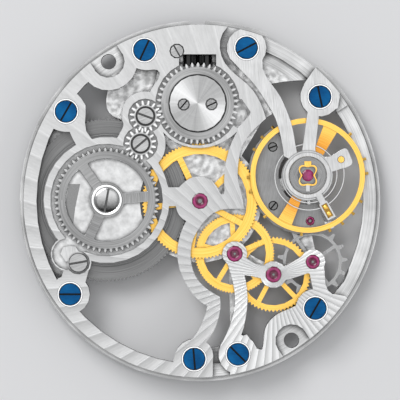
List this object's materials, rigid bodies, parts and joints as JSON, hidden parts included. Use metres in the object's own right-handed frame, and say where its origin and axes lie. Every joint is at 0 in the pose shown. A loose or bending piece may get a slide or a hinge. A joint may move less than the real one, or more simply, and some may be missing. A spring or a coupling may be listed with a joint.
{
  "type": "mechanical watch movement",
  "caption": "Round hand-wound watch movement with skeletonised plate and bridges, exposed barrel, gear train, lever escapement, screwed balance with hairspring, winding and setting work.",
  "frame": {"origin": "centre of the main plate's dial-side face, on the axis of the hour and minute hands", "axes": "+Z from the dial side to the bridges, +Y towards the winding stem, +X to the balance"},
  "size_m": [0.0268, 0.0268, 0.0037],
  "materials": {
    "plated_brass": "nickel plated, straight striping radiating over the bridges",
    "dark_plated_brass": "dark grey plated, fine brushed",
    "blued_steel": "heat blued, polished",
    "polished_steel": "polished",
    "grey_steel": "brushed",
    "gilt_brass": "gilt, circular grain",
    "ruby": "polished synthetic ruby",
    "spring_alloy": "drawn spring strip"
  },
  "bodies": {
    "frame": {"main_plate": "plated_brass", "main_bridge": "plated_brass", "train_bridge": "plated_brass", "balance_bridge": "plated_brass", "pallet_bridge": "dark_plated_brass", "bridge_screws": "blued_steel", "pallet_bridge_screws": "polished_steel", "setting_lever_screw": "polished_steel", "train_jewels": "ruby", "pallet_jewels": "ruby", "shock_blocks": "plated_brass", "balance_jewels": "ruby", "shock_springs": "gilt_brass", "crown_core": "polished_steel", "crown_screws": "polished_steel", "transfer_screws": "polished_steel", "click_screw": "polished_steel", "click_spring": "spring_alloy", "yoke_spring": "spring_alloy", "hairspring": "spring_alloy"},
    "barrel": {"barrel_drum": "grey_steel", "barrel_cover": "grey_steel", "mainspring": "spring_alloy"},
    "barrel_arbor": {"barrel_arbor": "polished_steel", "ratchet_wheel": "grey_steel", "ratchet_screw": "polished_steel"},
    "crown_wheel": {"crown_wheel": "polished_steel"},
    "first_transfer_wheel": {"first_transfer_wheel": "polished_steel"},
    "second_transfer_wheel": {"second_transfer_wheel": "polished_steel"},
    "winding_pinion": {"winding_pinion": "polished_steel"},
    "clutch": {"clutch": "polished_steel"},
    "click": {"click": "polished_steel"},
    "centre": {"centre_wheel": "gilt_brass", "centre_arbor": "polished_steel"},
    "third": {"third_wheel": "gilt_brass", "third_arbor": "polished_steel"},
    "fourth": {"fourth_wheel": "gilt_brass", "fourth_arbor": "polished_steel"},
    "escape": {"escape_wheel": "polished_steel", "escape_arbor": "polished_steel"},
    "fork": {"pallet_fork": "polished_steel", "pallet_stones": "ruby", "pallet_arbor": "polished_steel"},
    "balance": {"balance_wheel": "gilt_brass", "balance_screws": "gilt_brass", "balance_staff": "polished_steel", "roller": "gilt_brass", "impulse_pin": "ruby", "collet": "gilt_brass"},
    "stud_carrier": {"stud_carrier": "polished_steel", "stud": "gilt_brass"},
    "regulator": {"regulator": "polished_steel", "curb_pins": "gilt_brass"},
    "cannon_pinion": {"cannon_pinion": "polished_steel"},
    "hour_wheel": {"hour_wheel": "gilt_brass"},
    "minute_wheel": {"minute_wheel": "gilt_brass"},
    "setting_wheel": {"setting_wheel": "polished_steel"},
    "intermediate_setting_wheel": {"intermediate_setting_wheel": "polished_steel"},
    "yoke": {"yoke": "polished_steel"},
    "setting_lever": {"setting_lever": "polished_steel"}
  },
  "joints": [
    {"name": "centre_spin", "type": "hinge", "parent": "frame", "child": "centre", "pos_m": [0, 0, 0], "axis": [0, 0, 1], "continuous": true},
    {"name": "barrel_spin", "type": "hinge", "parent": "frame", "child": "barrel", "pos_m": [-0.00691, 0.00007, 0], "axis": [0, 0, 1], "continuous": true},
    {"name": "third_spin", "type": "hinge", "parent": "frame", "child": "third", "pos_m": [0.00257, -0.0039, 0], "axis": [0, 0, 1], "continuous": true},
    {"name": "fourth_spin", "type": "hinge", "parent": "frame", "child": "fourth", "pos_m": [0.00544, -0.00544, 0], "axis": [0, 0, 1], "continuous": true},
    {"name": "escape_spin", "type": "hinge", "parent": "frame", "child": "escape", "pos_m": [0.00835, -0.0045, 0], "axis": [0, 0, 1], "continuous": true},
    {"name": "cannon_spin", "type": "hinge", "parent": "frame", "child": "cannon_pinion", "pos_m": [0, 0, 0], "axis": [0, 0, 1], "continuous": true},
    {"name": "minute_spin", "type": "hinge", "parent": "frame", "child": "minute_wheel", "pos_m": [-0.00018, 0.00239, 0], "axis": [0, 0, 1], "continuous": true},
    {"name": "hour_spin", "type": "hinge", "parent": "frame", "child": "hour_wheel", "pos_m": [0, 0, 0], "axis": [0, 0, 1], "continuous": true},
    {"name": "setting_spin", "type": "hinge", "parent": "frame", "child": "setting_wheel", "pos_m": [-0.00018, 0.00519, 0], "axis": [0, 0, 1], "continuous": true},
    {"name": "intermediate_spin", "type": "hinge", "parent": "frame", "child": "intermediate_setting_wheel", "pos_m": [-0.00018, 0.00719, 0], "axis": [0, 0, 1], "continuous": true},
    {"name": "ratchet_spin", "type": "hinge", "parent": "frame", "child": "barrel_arbor", "pos_m": [-0.00691, 0.00007, 0], "axis": [0, 0, 1], "continuous": true},
    {"name": "second_transfer_spin", "type": "hinge", "parent": "frame", "child": "second_transfer_wheel", "pos_m": [-0.00439, 0.00424, 0], "axis": [0, 0, 1], "continuous": true},
    {"name": "first_transfer_spin", "type": "hinge", "parent": "frame", "child": "first_transfer_wheel", "pos_m": [-0.00404, 0.00629, 0], "axis": [0, 0, 1], "continuous": true},
    {"name": "crown_wheel_spin", "type": "hinge", "parent": "frame", "child": "crown_wheel", "pos_m": [-0.00018, 0.00723, 0], "axis": [0, 0, 1], "continuous": true},
    {"name": "winding_pinion_spin", "type": "hinge", "parent": "frame", "child": "winding_pinion", "pos_m": [-0.00018, 0.0104, 0.0011], "axis": [0, 1, 0], "continuous": true},
    {"name": "click_swing", "type": "hinge", "parent": "frame", "child": "click", "pos_m": [-0.00901, -0.00456, 0], "axis": [0, 0, 1], "range_deg": [0, 8], "stiffness_Nm_per_rad": 0.0000002},
    {"name": "fork_swing", "type": "hinge", "parent": "frame", "child": "fork", "pos_m": [0.00817, -0.00148, 0], "axis": [0, 0, 1], "range_deg": [-5, 5]},
    {"name": "balance_swing", "type": "hinge", "parent": "frame", "child": "balance", "pos_m": [0.00797, 0.00189, 0], "axis": [0, 0, 1], "range_deg": [-270, 270], "stiffness_Nm_per_rad": 0.0000004, "deforming": ["hairspring"]},
    {"name": "stud_carrier_turn", "type": "hinge", "parent": "frame", "child": "stud_carrier", "pos_m": [0.00797, 0.00189, 0], "axis": [0, 0, 1], "range_deg": [-5, 5]},
    {"name": "regulator_turn", "type": "hinge", "parent": "frame", "child": "regulator", "pos_m": [0.00797, 0.00189, 0], "axis": [0, 0, 1], "range_deg": [-10, 10]},
    {"name": "clutch_slide", "type": "slide", "parent": "frame", "child": "clutch", "axis": [0, 1, 0], "range_m": [-0.00028, 0]},
    {"name": "yoke_swing", "type": "hinge", "parent": "frame", "child": "yoke", "pos_m": [0.00318, 0.00865, 0], "axis": [0, 0, 1], "range_deg": [0, 5.7]},
    {"name": "setting_lever_swing", "type": "hinge", "parent": "frame", "child": "setting_lever", "pos_m": [-0.00171, 0.01109, 0], "axis": [0, 0, 1], "range_deg": [0, 10.1]}
  ],
  "couplings": [
    {"joint": "barrel_spin", "follows": "centre_spin", "ratio": -0.15152},
    {"joint": "third_spin", "follows": "centre_spin", "ratio": -10},
    {"joint": "fourth_spin", "follows": "centre_spin", "ratio": 84},
    {"joint": "escape_spin", "follows": "centre_spin", "ratio": -720},
    {"joint": "cannon_spin", "follows": "centre_spin", "ratio": 1},
    {"joint": "minute_spin", "follows": "centre_spin", "ratio": -0.33333},
    {"joint": "hour_spin", "follows": "centre_spin", "ratio": 0.083333},
    {"joint": "setting_spin", "follows": "centre_spin", "ratio": 0.6},
    {"joint": "intermediate_spin", "follows": "centre_spin", "ratio": -0.6},
    {"joint": "second_transfer_spin", "follows": "ratchet_spin", "ratio": -3.6667},
    {"joint": "first_transfer_spin", "follows": "ratchet_spin", "ratio": 3.6667},
    {"joint": "crown_wheel_spin", "follows": "ratchet_spin", "ratio": -1.3095},
    {"joint": "winding_pinion_spin", "follows": "ratchet_spin", "ratio": 3.9286},
    {"joint": "yoke_swing", "follows": "clutch_slide", "rad_per_m": -347},
    {"joint": "setting_lever_swing", "follows": "clutch_slide", "rad_per_m": -623}
  ]
}
